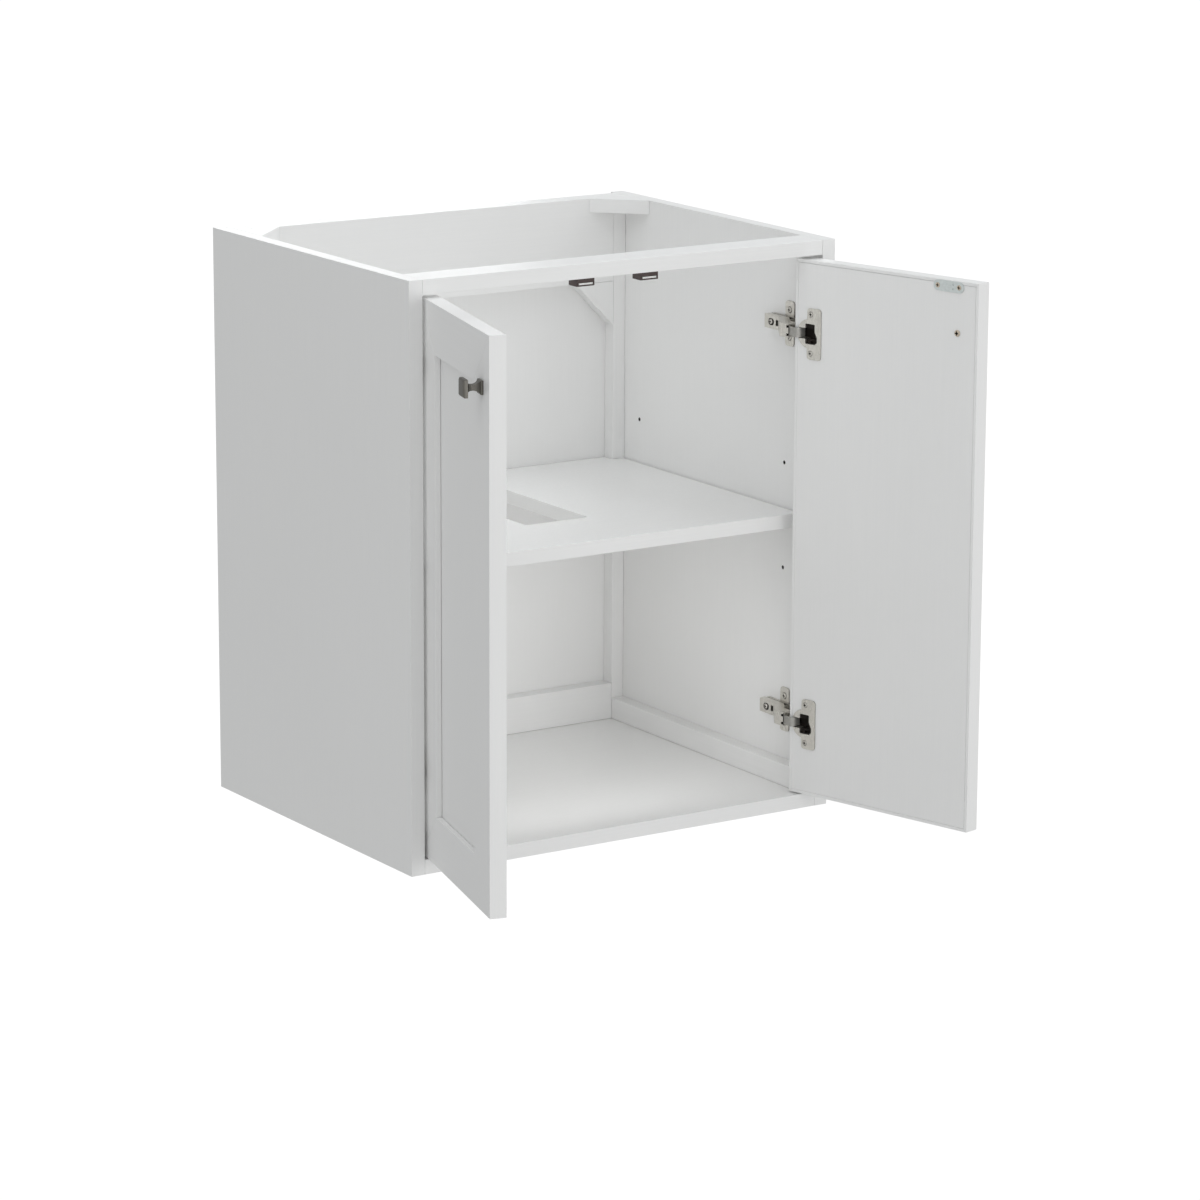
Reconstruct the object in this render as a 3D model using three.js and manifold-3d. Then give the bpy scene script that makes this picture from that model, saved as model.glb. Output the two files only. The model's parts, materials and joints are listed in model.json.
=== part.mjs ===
// Wall-hung base cabinet: open top, notched shelf, two inset shaker doors on concealed cup hinges.
// Millimetres, +Z up. The front faces -Y and the wall is the plane Y = 0. The origin is the middle of the
// wall plane at the height of the wall screws, so the cabinet hangs from its own origin.
//
// Most shapes are written in cabinet coordinates: x from the outside of the left side panel, y from the
// front edge towards the wall, z from the underside. The doors are written closed, in a group that stands
// on the hinge axis and turns them open.

import * as THREE from "three";
import { mergeVertices } from "three/addons/utils/BufferGeometryUtils.js";
import Module from "manifold-3d";

const wasm = await Module();
wasm.setup();

// ---------------------------------------------------------------- driving dimensions

const WIDTH = 600;
const DEPTH = 470;
const HEIGHT = 710;
const BOARD = 18;
const JOINT = 0.3; // visible joint between two boards, and the clearance between turned pieces

const BACK_SETBACK = 9; // the side panels run past the back panel to meet the wall
const BACK_THICKNESS = 6;
const POST_DEPTH = 20;
const HANGING_RAIL_HEIGHT = 110;
const WALL_SCREW_BELOW_TOP = 55;
const LOW_RAIL_HEIGHT = 48;
const GUSSET_LEG = 57;
const CLEAT_HEIGHT = 28;
const CLEAT_FRONT = 26; // behind the sweep of the door's hinge corner
const CORNER_BLOCK_LEG = 55;
const STRETCHER_DEPTH = 45;

const SHELF_TOP = 366;
const SHELF_FRONT = 38;
const SHELF_NOTCH_WIDTH = 90; // the waste pipe passes here
const SHELF_NOTCH_FRONT = 154;
const SUPPORT_HOLE_RADIUS = 2.6;
const SUPPORT_HOLE_DEPTH = 10;
const SUPPORT_ROWS = [289.5, 356, 422.5];
const SUPPORT_SHELF_ROW = 1;
const SUPPORT_COLUMNS = [75, 400];
const SUPPORT_SHEET = 1.2;
const SUPPORT_WIDTH = 10;
const SUPPORT_REACH = 12;
const SUPPORT_ABOVE_HOLE = 5;
const SUPPORT_WALL_GAP = 0.2;
const SUPPORT_PEG_RADIUS = 2.4;
const SUPPORT_PEG = { middle: 3.7, length: 10 }; // its middle lies this far inside the panel

const DOOR_THICKNESS = 20;
const DOOR_BOTTOM = 20;
const DOOR_TOP = 688;
const DOOR_SIDE_GAP = 3;
const DOOR_MIDDLE_GAP = 2;
const DOOR_OPEN_ANGLE = 105;
const HINGE_AXIS_INWARD = 14; // from the inner face of the side panel
const HINGE_AXIS_DEPTH = 8; // behind the front edge
const FRAME_WIDTH = 60;
const FRAME_THICKNESS = 7; // the part of the frame that stands proud of the door's panel
const FRAME_LIP = 4; // the frame wraps the edge of the panel

const CUP_FROM_EDGE = 22.5;
const CUP_FROM_END = 90;
const CUP_RADIUS = 17.5;
const CUP_DEPTH = 11.8;
const CUP_POCKET_DEPTH = 11.1;
const FLANGE_THICKNESS = 1.2;
const FLANGE_HEIGHT = 63;
const FLANGE_NEAR = 19.5; // near and far edges of the screw ears, from the door's edge
const FLANGE_FAR = 41;
const FLANGE_SCREW_FROM_EDGE = 25;
const FLANGE_SCREW_PITCH = 48;
const FLANGE_CORNER = 4;
const FLANGE_SCREW = { radius: 3.4, thickness: 1.6, segments: 14 };
const FLANGE_OVERLAP = 0.4; // the flange round the cup is this much wider than the cup
const CUP_MOUTH = { near: 14, far: 33, half: 9.5 }; // inward of the side panel, and half its height
const CUP_THROAT = { near: 9.5, far: 20, half: 6.4 }; // the link comes in here

const ARM_PIVOT = { inward: 29.5, depth: 31 };
const ARM_FRONT = 25;
const ARM_BACK = 103;
const ARM_FACE = 33.2; // outside of the channel's web in front, from the side panel
const ARM_TAIL_FACE = 13.2; // the tail lies much lower: the arm is cranked for an inset door
const ARM_CRANK = { near: 42, far: 72 };
const ARM_SHEET = 1.5;
const ARM_HALF = 8.6;
const ARM_BOX_FOOT = 18; // the channel's open side, from the side panel
const ARM_TAIL_FOOT = 4.5;
const ARM_SLOT = { near: 73.5, far: 78.5, half: 3.6 };
const ARM_SCREW = { depth: 90, radius: 3.6, thickness: 2.2, segments: 14 };
const PIVOT_PIN_RADIUS = 1.1;
const PIVOT_BORE_RADIUS = 1.5;
const LINK_SHEET = 1.2;
const LINK_HALF_HEIGHT = 5.75;
const LINK_EYE_RADIUS = 2.2;
const PLATE_THICKNESS = 2;
const PLATE_HEIGHT = 56;
const PLATE_NEAR = 56;
const PLATE_FAR = 74;
const PLATE_SCREW_DEPTH = 65;
const PLATE_SCREW_PITCH = 34;
const PLATE_SCREW = { radius: 4, thickness: 2.4, segments: 14 };
const PLATE_FOOT = { near: 50, far: 101, half: 9, thickness: 4 };
const PLATE_BLOCK = { near: 58, far: 101, half: 6.6, height: 10.2 };

const KNOB_FROM_EDGE = 30;
const KNOB_FROM_TOP = 62;
const KNOB_LENGTH = 24;
const KNOB_HEAD = 21.4;
const KNOB_FOOT = 16.4;
const KNOB_BORE = { radius: 2.3, depth: 10 };
const KNOB_SHANK_RADIUS = 2;
const KNOB_SCREW_HEAD = { radius: 4.4, thickness: 2 };
const STRIKE_FROM_EDGE = 44;
const STRIKE_FROM_TOP = 7.5;
const STRIKE_LENGTH = 45;
const STRIKE_HEIGHT = 13;
const STRIKE_THICKNESS = 1;
const CATCH_SIZE = { x: 25, y: 20, z: 13 };
const CATCH_FRONT = 22;
const MAGNET_SIZE = { x: 20, y: 15, z: 2.6 };
const MAGNET_ABOVE_UNDERSIDE = 3; // its middle, from the underside of the catch

const BORE_SEGMENTS = 16;
const CUP_SEGMENTS = 40;

// ---------------------------------------------------------------- derived sizes

const INNER_LEFT = BOARD;
const INNER_RIGHT = WIDTH - BOARD;
const BACK_FACE = DEPTH - BACK_SETBACK - BACK_THICKNESS; // front of the back panel
const POST_FRONT = BACK_FACE - POST_DEPTH;
const TOP_UNDERSIDE = HEIGHT - BOARD;
const SHELF_UNDERSIDE = SHELF_TOP - BOARD;
const DOOR_WIDTH = WIDTH / 2 - BOARD - DOOR_SIDE_GAP - DOOR_MIDDLE_GAP / 2;
const DOOR_HINGE_EDGE = DOOR_SIDE_GAP;
const DOOR_FREE_EDGE = DOOR_SIDE_GAP + DOOR_WIDTH;
const HINGE_HEIGHTS = { upper: DOOR_TOP - CUP_FROM_END, lower: DOOR_BOTTOM + CUP_FROM_END };

// ---------------------------------------------------------------- materials

const white = () => new THREE.MeshStandardMaterial({ color: 0xe6e7e8, roughness: 0.35, metalness: 0 });
const nickel = () => new THREE.MeshStandardMaterial({ color: 0xc9c6c0, roughness: 0.3, metalness: 1 });
const darkNickel = () => new THREE.MeshStandardMaterial({ color: 0x4a4644, roughness: 0.35, metalness: 1 });
const zinc = () => new THREE.MeshStandardMaterial({ color: 0xb9bcbf, roughness: 0.4, metalness: 1 });
const brownPlastic = () => new THREE.MeshStandardMaterial({ color: 0x33211d, roughness: 0.5, metalness: 0 });

// ---------------------------------------------------------------- small tools

function solidOf(geometry) {
  const bare = geometry.clone();
  bare.deleteAttribute("normal");
  bare.deleteAttribute("uv");
  const merged = mergeVertices(bare, 1e-5);
  const mesh = new wasm.Mesh({
    numProp: 3,
    vertProperties: new Float32Array(merged.attributes.position.array),
    triVerts: new Uint32Array(merged.index.array),
  });
  return new wasm.Manifold(mesh);
}

function geometryOf(solid) {
  const mesh = solid.getMesh();
  const geometry = new THREE.BufferGeometry();
  geometry.setAttribute("position", new THREE.BufferAttribute(new Float32Array(mesh.vertProperties), 3));
  geometry.setIndex(new THREE.BufferAttribute(new Uint32Array(mesh.triVerts), 1));
  geometry.computeVertexNormals();
  return geometry;
}

function box(x0, x1, y0, y1, z0, z1) {
  const [left, right] = [Math.min(x0, x1), Math.max(x0, x1)];
  const geometry = new THREE.BoxGeometry(right - left, y1 - y0, z1 - z0);
  return geometry.translate((left + right) / 2, (y0 + y1) / 2, (z0 + z1) / 2);
}

// A cylinder along x, y or z, centred on the given point.
function rod(axis, radius, length, x, y, z, segments = BORE_SEGMENTS) {
  const geometry = new THREE.CylinderGeometry(radius, radius, length, segments);
  if (axis === "x") geometry.rotateZ(Math.PI / 2);
  if (axis === "z") geometry.rotateX(Math.PI / 2);
  return geometry.translate(x, y, z);
}

function outline(points) {
  return new THREE.Shape(points.map(([a, b]) => new THREE.Vector2(a, b)));
}

// A flat outline in the x-y plane, standing from z0 to z1.
function upright(shape, z0, z1) {
  return new THREE.ExtrudeGeometry(shape, { depth: z1 - z0, bevelEnabled: false }).translate(0, 0, z0);
}

// A flat outline in the x-z plane, reaching from y0 back to y1.
function facing(shape, y0, y1) {
  const geometry = new THREE.ExtrudeGeometry(shape, { depth: y1 - y0, bevelEnabled: false });
  return geometry.rotateX(Math.PI / 2).translate(0, y1, 0);
}

function cut(geometry, ...tools) {
  return geometryOf(tools.reduce((solid, tool) => solid.subtract(solidOf(tool)), solidOf(geometry)));
}

function join(...geometries) {
  return geometryOf(geometries.map(solidOf).reduce((solid, next) => solid.add(next)));
}

function addPiece(group, name, geometry, material) {
  const mesh = new THREE.Mesh(geometry, material);
  mesh.name = name;
  group.add(mesh);
}

// ---------------------------------------------------------------- carcass

function sidePanel(outer, inner) {
  const inward = Math.sign(inner - outer);
  const holes = [];
  for (const y of SUPPORT_COLUMNS) {
    for (const z of SUPPORT_ROWS) {
      const middle = inner - inward * (SUPPORT_HOLE_DEPTH / 2 - 1);
      holes.push(rod("x", SUPPORT_HOLE_RADIUS, SUPPORT_HOLE_DEPTH + 2, middle, y, z));
    }
  }
  return cut(box(outer, inner, 0, DEPTH, 0, HEIGHT), ...holes);
}

function addCarcass(group) {
  const left = INNER_LEFT + JOINT;
  const right = INNER_RIGHT - JOINT;
  const back = BACK_FACE - JOINT;
  const postLeft = INNER_LEFT + BOARD;
  const postRight = INNER_RIGHT - BOARD;
  const floor = BOARD + JOINT;

  addPiece(group, "left_side_panel", sidePanel(0, INNER_LEFT), white());
  addPiece(group, "right_side_panel", sidePanel(WIDTH, INNER_RIGHT), white());
  addPiece(group, "bottom_panel", box(left, right, 0, back, 0, BOARD), white());
  const stretcher = box(left, right, 0, STRETCHER_DEPTH, TOP_UNDERSIDE, HEIGHT);
  addPiece(group, "top_front_stretcher", stretcher, white());
  const backPanel = box(left, right, BACK_FACE, BACK_FACE + BACK_THICKNESS, 0, HEIGHT);
  addPiece(group, "back_panel", backPanel, white());

  const rails = {
    hanging_rail: [HEIGHT - HANGING_RAIL_HEIGHT, HEIGHT],
    back_bottom_rail: [floor, BOARD + LOW_RAIL_HEIGHT],
  };
  for (const [name, [z0, z1]] of Object.entries(rails)) {
    addPiece(group, name, box(postLeft + JOINT, postRight - JOINT, POST_FRONT, back, z0, z1), white());
  }

  const sides = { left: { wall: INNER_LEFT, sign: 1 }, right: { wall: INNER_RIGHT, sign: -1 } };
  for (const [side, { wall, sign }] of Object.entries(sides)) {
    const near = wall + sign * JOINT;
    const far = wall + sign * BOARD;
    addPiece(group, `back_post_${side}`, box(near, far, POST_FRONT, back, floor, HEIGHT), white());

    const cleat = box(near, far, CLEAT_FRONT, POST_FRONT - JOINT, floor, BOARD + CLEAT_HEIGHT);
    addPiece(group, `floor_cleat_${side}`, cleat, white());

    const railUnderside = HEIGHT - HANGING_RAIL_HEIGHT - JOINT;
    const gusset = outline([
      [far + sign * JOINT, railUnderside],
      [far + sign * GUSSET_LEG, railUnderside],
      [far + sign * JOINT, railUnderside - GUSSET_LEG],
    ]);
    addPiece(group, `gusset_${side}`, facing(gusset, POST_FRONT, back), white());

    const block = outline([
      [near, POST_FRONT - JOINT],
      [near + sign * CORNER_BLOCK_LEG, POST_FRONT - JOINT],
      [near, POST_FRONT - JOINT - CORNER_BLOCK_LEG],
    ]);
    addPiece(group, `corner_block_${side}`, upright(block, TOP_UNDERSIDE, HEIGHT), white());
  }
}

// ---------------------------------------------------------------- shelf and its supports

function shelfBoard() {
  const endGap = SUPPORT_SHEET + 2 * JOINT;
  const left = INNER_LEFT + endGap;
  const right = INNER_RIGHT - endGap;
  const back = BACK_FACE - 1;
  const board = box(left, right, SHELF_FRONT, back, SHELF_UNDERSIDE + JOINT, SHELF_TOP);
  const [z0, z1] = [SHELF_UNDERSIDE - BOARD, SHELF_TOP + BOARD];
  const notchHalf = SHELF_NOTCH_WIDTH / 2;
  const middle = WIDTH / 2;
  const postNotch = BOARD + 1;
  return cut(
    board,
    box(middle - notchHalf, middle + notchHalf, SHELF_NOTCH_FRONT, DEPTH, z0, z1),
    box(0, INNER_LEFT + postNotch, POST_FRONT - 1, DEPTH, z0, z1),
    box(INNER_RIGHT - postNotch, WIDTH, POST_FRONT - 1, DEPTH, z0, z1),
  );
}

// An angle bracket with a peg: the peg sits in the panel and the shelf lies on the lower leg.
function shelfSupport(wall, sign, y) {
  const hole = SUPPORT_ROWS[SUPPORT_SHELF_ROW];
  const near = wall + sign * SUPPORT_WALL_GAP;
  const half = SUPPORT_WIDTH / 2;
  const [y0, y1] = [y - half, y + half];
  const low = SHELF_UNDERSIDE - SUPPORT_SHEET;
  const leg = box(near, near + sign * SUPPORT_SHEET, y0, y1, low, hole + SUPPORT_ABOVE_HOLE);
  const foot = box(near, near + sign * SUPPORT_REACH, y0, y1, low, SHELF_UNDERSIDE);
  const peg = rod("x", SUPPORT_PEG_RADIUS, SUPPORT_PEG.length, wall - sign * SUPPORT_PEG.middle, y, hole, 12);
  return join(leg, foot, peg);
}

function addShelf(group) {
  addPiece(group, "shelf", shelfBoard(), white());
  const walls = { left: [INNER_LEFT, 1], right: [INNER_RIGHT, -1] };
  for (const [side, [wall, sign]] of Object.entries(walls)) {
    for (const [place, y] of [["front", SUPPORT_COLUMNS[0]], ["back", SUPPORT_COLUMNS[1]]]) {
      addPiece(group, `shelf_support_${side}_${place}`, shelfSupport(wall, sign, y), zinc());
    }
  }
}

// ---------------------------------------------------------------- magnetic catches

function addCatches(group) {
  for (const [side, sign] of [["left", -1], ["right", 1]]) {
    const x = WIDTH / 2 + sign * (DOOR_MIDDLE_GAP / 2 + STRIKE_FROM_EDGE);
    const half = CATCH_SIZE.x / 2;
    const top = TOP_UNDERSIDE - JOINT;
    const bottom = top - CATCH_SIZE.z;
    const middle = bottom + MAGNET_ABOVE_UNDERSIDE;
    const front = CATCH_FRONT;
    const slot = box(
      x - MAGNET_SIZE.x / 2 - JOINT, x + MAGNET_SIZE.x / 2 + JOINT, front - 1, front + MAGNET_SIZE.y + JOINT,
      middle - MAGNET_SIZE.z / 2 - JOINT, middle + MAGNET_SIZE.z / 2 + JOINT,
    );
    const housing = cut(box(x - half, x + half, front, front + CATCH_SIZE.y, bottom, top), slot);
    addPiece(group, `catch_housing_${side}`, housing, brownPlastic());
    const magnet = box(
      x - MAGNET_SIZE.x / 2, x + MAGNET_SIZE.x / 2, front - 0.4, front + MAGNET_SIZE.y,
      middle - MAGNET_SIZE.z / 2, middle + MAGNET_SIZE.z / 2,
    );
    addPiece(group, `catch_magnet_${side}`, magnet, zinc());
  }
}

// ---------------------------------------------------------------- doors
// Written closed, for the side given by sign: +1 is the right door, -1 the left. u runs from the inner
// face of the side panel towards the middle of the cabinet, so x = wall - sign * u.

const place = (wall, sign) => (u) => wall - sign * u;

// One mitred member of the frame: a broad front leg, and a lip along the outer edge of the door.
function frameMember(outer, inwardOffsets) {
  const trapezoid = (reach) => outline([
    outer[0],
    outer[1],
    [outer[1][0] + inwardOffsets[1][0] * reach, outer[1][1] + inwardOffsets[1][1] * reach],
    [outer[0][0] + inwardOffsets[0][0] * reach, outer[0][1] + inwardOffsets[0][1] * reach],
  ]);
  const face = facing(trapezoid(FRAME_WIDTH), 0, FRAME_THICKNESS);
  const lip = facing(trapezoid(FRAME_LIP), FRAME_THICKNESS / 2, DOOR_THICKNESS);
  return join(face, lip);
}

function doorFrame(x) {
  const gap = JOINT / 2;
  const [h, f] = [x(DOOR_HINGE_EDGE), x(DOOR_FREE_EDGE)];
  const inward = Math.sign(f - h);
  const [b, t] = [DOOR_BOTTOM, DOOR_TOP];
  return {
    hinge_stile: frameMember([[h, b + gap], [h, t - gap]], [[inward, 1], [inward, -1]]),
    lock_stile: frameMember([[f, b + gap], [f, t - gap]], [[-inward, 1], [-inward, -1]]),
    bottom_rail: frameMember([[h + inward * gap, b], [f - inward * gap, b]], [[inward, 1], [-inward, 1]]),
    top_rail: frameMember([[h + inward * gap, t], [f - inward * gap, t]], [[inward, -1], [-inward, -1]]),
  };
}

function doorPanel(x) {
  const inset = FRAME_LIP + JOINT;
  const slab = box(
    x(DOOR_HINGE_EDGE + inset), x(DOOR_FREE_EDGE - inset), FRAME_THICKNESS + JOINT, DOOR_THICKNESS,
    DOOR_BOTTOM + inset, DOOR_TOP - inset,
  );
  const bore = Object.values(HINGE_HEIGHTS).map((z) => rod(
    "y", CUP_RADIUS + 0.2, 2 * (CUP_DEPTH + 0.3), x(DOOR_HINGE_EDGE + CUP_FROM_EDGE), DOOR_THICKNESS, z,
    CUP_SEGMENTS,
  ));
  return cut(slab, ...bore);
}

// Square in section, flared at the foot, waisted, with a slightly domed square head.
function knobBody(x, z) {
  const side = Math.SQRT1_2; // a four-sided lathe has its corners at the profile's radius
  const [head, foot] = [KNOB_HEAD / 2, KNOB_FOOT / 2];
  const profile = [
    [0, 0], [foot, 0], [foot, 2.4], [foot - 3, 4.6], [4, 8], [3.6, 11], [4, 14], [5.6, 16.6],
    [head - 1, 18], [head, 18.3], [head, 22.4], [head - 1.6, KNOB_LENGTH - 0.2], [0, KNOB_LENGTH],
  ].map(([radius, height]) => new THREE.Vector2(radius / side, height));
  const lathe = new THREE.LatheGeometry(profile, 4).rotateY(Math.PI / 4).rotateX(Math.PI);
  return lathe.translate(x, -0.2, z);
}

function strikePlate(xMiddle, z) {
  const radius = STRIKE_HEIGHT / 2;
  const reach = STRIKE_LENGTH / 2 - radius;
  const pill = new THREE.Shape();
  pill.absarc(xMiddle + reach, z, radius, -Math.PI / 2, Math.PI / 2);
  pill.absarc(xMiddle - reach, z, radius, Math.PI / 2, 1.5 * Math.PI);
  const depth = STRIKE_THICKNESS;
  const plate = new THREE.ExtrudeGeometry(pill, { depth, bevelEnabled: false, curveSegments: 10 });
  return plate.rotateX(Math.PI / 2).translate(0, DOOR_THICKNESS + 0.2 + depth, 0);
}

// Cup, flange and the open pocket that the link folds into.
function hingeCup(x, z) {
  const centre = DOOR_HINGE_EDGE + CUP_FROM_EDGE;
  const face = DOOR_THICKNESS;
  const flangeBack = face + 0.2;
  const flangeFront = flangeBack + FLANGE_THICKNESS;
  const body = rod("y", CUP_RADIUS, CUP_DEPTH + 0.7, x(centre), face - CUP_DEPTH / 2 + 0.35, z, CUP_SEGMENTS);
  const lobe = rod(
    "y", CUP_RADIUS + FLANGE_OVERLAP, FLANGE_THICKNESS, x(centre), (flangeBack + flangeFront) / 2, z,
    CUP_SEGMENTS,
  );
  const [near, far] = [x(DOOR_HINGE_EDGE + FLANGE_NEAR), x(DOOR_HINGE_EDGE + FLANGE_FAR)];
  const [low, high, corner] = [z - FLANGE_HEIGHT / 2, z + FLANGE_HEIGHT / 2, FLANGE_CORNER];
  const inward = Math.sign(far - near);
  const ears = facing(outline([
    [near, low + corner], [near + inward * corner, low], [far - inward * corner, low], [far, low + corner],
    [far, high - corner], [far - inward * corner, high], [near + inward * corner, high],
    [near, high - corner],
  ]), flangeBack, flangeFront);
  const floor = face - CUP_POCKET_DEPTH;
  const clear = face + 4;
  const opening = ({ near: from, far: to, half }, y0, y1) => box(x(from), x(to), y0, y1, z - half, z + half);
  const mouth = opening(CUP_MOUTH, floor, clear);
  const throat = opening(CUP_THROAT, floor, face + 0.1);
  const notch = opening({ ...CUP_THROAT, near: 0 }, face, clear);
  const screws = [-1, 1].map((side) => {
    const [sx, sz] = [x(DOOR_HINGE_EDGE + FLANGE_SCREW_FROM_EDGE), z + side * FLANGE_SCREW_PITCH / 2];
    return rod("y", FLANGE_SCREW.radius, FLANGE_SCREW.thickness, sx, flangeFront, sz, FLANGE_SCREW.segments);
  });
  return join(cut(join(body, lobe, ears), mouth, throat, notch), ...screws);
}

function addDoor(group, side, wall, sign) {
  const x = place(wall, sign);
  const name = (piece) => `${side}_door_${piece}`;
  const knobX = x(DOOR_FREE_EDGE - KNOB_FROM_EDGE);
  const knobZ = DOOR_TOP - KNOB_FROM_TOP;
  const screwHole = () => (
    rod("y", KNOB_SHANK_RADIUS + 0.4, 3 * DOOR_THICKNESS, knobX, DOOR_THICKNESS / 2, knobZ)
  );

  for (const [member, geometry] of Object.entries(doorFrame(x))) {
    addPiece(group, name(member), member === "lock_stile" ? cut(geometry, screwHole()) : geometry, white());
  }
  addPiece(group, name("panel"), cut(doorPanel(x), screwHole()), white());

  const knobBore = rod("y", KNOB_BORE.radius, 2 * KNOB_BORE.depth, knobX, 0, knobZ);
  addPiece(group, name("knob"), cut(knobBody(knobX, knobZ), knobBore), darkNickel());
  const shank = rod("y", KNOB_SHANK_RADIUS, DOOR_THICKNESS + 8, knobX, DOOR_THICKNESS / 2 - 3, knobZ);
  const { radius, thickness } = KNOB_SCREW_HEAD;
  const head = rod("y", radius, thickness, knobX, DOOR_THICKNESS + 0.2 + thickness / 2, knobZ);
  addPiece(group, name("knob_screw"), join(shank, head), zinc());

  const strikeX = x(DOOR_FREE_EDGE - STRIKE_FROM_EDGE);
  addPiece(group, name("strike_plate"), strikePlate(strikeX, DOOR_TOP - STRIKE_FROM_TOP), zinc());
  for (const [level, z] of Object.entries(HINGE_HEIGHTS)) {
    addPiece(group, `${side}_${level}_hinge_cup`, hingeCup(x, z), nickel());
  }
}

// ---------------------------------------------------------------- hinge arms, pins, plates and links

// The link is a bent plate: from the arm's pivot it reaches round the open door's corner into the cup.
// Its route is given with the door open, as [inward, depth] in the same way as the arm's pivot.
const LINK_ROUTE = [[29.5, 31], [31.6, 17.1], [32, 9.9], [26.4, 7.9], [19, 8.3]];

function bandOutline(route, thickness) {
  const points = route.map(([a, b]) => new THREE.Vector2(a, b));
  const half = thickness / 2;
  const normals = points.map((point, i) => {
    const before = points[Math.max(i - 1, 0)];
    const after = points[Math.min(i + 1, points.length - 1)];
    const incoming = point.clone().sub(before);
    const outgoing = after.clone().sub(point);
    const tangent = incoming.normalize().add(outgoing.normalize()).normalize();
    return new THREE.Vector2(-tangent.y, tangent.x);
  });
  const left = points.map((point, i) => point.clone().addScaledVector(normals[i], half));
  const right = points.map((point, i) => point.clone().addScaledVector(normals[i], -half));
  return [...left, ...right.reverse()].map((point) => [point.x, point.y]);
}

function hingeLink(x, z) {
  const route = bandOutline(LINK_ROUTE, LINK_SHEET).map(([inward, depth]) => [x(inward), depth]);
  const [z0, z1] = [z - LINK_HALF_HEIGHT, z + LINK_HALF_HEIGHT];
  const pivot = [x(ARM_PIVOT.inward), ARM_PIVOT.depth, z];
  const eye = rod("z", LINK_EYE_RADIUS, z1 - z0, ...pivot);
  const bore = rod("z", PIVOT_BORE_RADIUS, 2 * (z1 - z0), ...pivot);
  return cut(join(upright(outline(route), z0, z1), eye), bore);
}

// A channel of bent sheet, seen from the side: its web runs along the tail, up the crank and to the front.
function hingeArm(x, z) {
  const { near, far } = ARM_CRANK;
  const web = (sheet) => [
    [ARM_TAIL_FACE - sheet, far], [ARM_FACE - sheet, near],
  ];
  const profile = (...points) => outline(points.map(([inward, depth]) => [x(inward), depth]));
  const body = upright(profile(
    [ARM_TAIL_FOOT, ARM_BACK], [ARM_TAIL_FACE, ARM_BACK], ...web(0), [ARM_FACE, ARM_FRONT],
    [ARM_BOX_FOOT, ARM_FRONT], [ARM_BOX_FOOT, near], [ARM_TAIL_FOOT, far - 10],
  ), z - ARM_HALF, z + ARM_HALF);
  const clear = ARM_BACK + 1;
  const hollow = upright(profile(
    [0, clear], [ARM_TAIL_FACE - ARM_SHEET, clear], ...web(ARM_SHEET), [ARM_FACE - ARM_SHEET, 0], [0, 0],
  ), z - ARM_HALF + ARM_SHEET, z + ARM_HALF - ARM_SHEET);
  const bore = rod("z", PIVOT_BORE_RADIUS, 40, x(ARM_PIVOT.inward), ARM_PIVOT.depth, z);
  const { half } = ARM_SLOT;
  const slot = box(
    x(ARM_TAIL_FACE + 3), x(ARM_TAIL_FACE - 3), ARM_SLOT.near, ARM_SLOT.far, z - half, z + half,
  );
  const { radius, thickness, depth, segments } = ARM_SCREW;
  const screw = rod("x", radius, thickness, x(ARM_TAIL_FACE), depth, z, segments);
  return join(cut(body, hollow, bore, slot), screw);
}

// A wing plate flat on the side panel with a raised block that the arm straddles.
function mountingPlate(x, z) {
  const half = PLATE_HEIGHT / 2;
  const wing = box(x(0.2), x(PLATE_THICKNESS), PLATE_NEAR, PLATE_FAR, z - half, z + half);
  const bar = (u0, u1, { near, far, half: reach }) => box(x(u0), x(u1), near, far, z - reach, z + reach);
  const foot = bar(0.2, PLATE_FOOT.thickness, PLATE_FOOT);
  const block = bar(1, PLATE_BLOCK.height, PLATE_BLOCK);
  const { radius, thickness, segments } = PLATE_SCREW;
  const screws = [-1, 1].map((side) => rod(
    "x", radius, thickness, x(PLATE_THICKNESS + 0.4), PLATE_SCREW_DEPTH, z + side * PLATE_SCREW_PITCH / 2,
    segments,
  ));
  return join(wing, foot, block, ...screws);
}

function addHinges(group, side, wall, sign) {
  const x = place(wall, sign);
  for (const [level, z] of Object.entries(HINGE_HEIGHTS)) {
    const name = (piece) => `${side}_${level}_hinge_${piece}`;
    addPiece(group, name("mounting_plate"), mountingPlate(x, z), nickel());
    addPiece(group, name("arm"), hingeArm(x, z), nickel());
    addPiece(group, name("link"), hingeLink(x, z), nickel());
    const pin = rod("z", PIVOT_PIN_RADIUS, 2 * ARM_HALF, x(ARM_PIVOT.inward), ARM_PIVOT.depth, z, 12);
    addPiece(group, name("pivot_pin"), pin, nickel());
  }
}

// ---------------------------------------------------------------- the object

const cabinet = new THREE.Group();
cabinet.position.set(-WIDTH / 2, -DEPTH, WALL_SCREW_BELOW_TOP - HEIGHT);
addCarcass(cabinet);
addShelf(cabinet);
addCatches(cabinet);

for (const [side, wall, sign] of [["left", INNER_LEFT, -1], ["right", INNER_RIGHT, 1]]) {
  addHinges(cabinet, side, wall, sign);
  const swing = new THREE.Group();
  swing.position.set(wall - sign * HINGE_AXIS_INWARD, HINGE_AXIS_DEPTH, 0);
  swing.rotation.z = sign * THREE.MathUtils.degToRad(DOOR_OPEN_ANGLE);
  const door = new THREE.Group();
  door.position.set(-swing.position.x, -swing.position.y, 0);
  swing.add(door);
  cabinet.add(swing);
  addDoor(door, side, wall, sign);
}

const object = new THREE.Group();
object.add(cabinet);

export default object;
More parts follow.
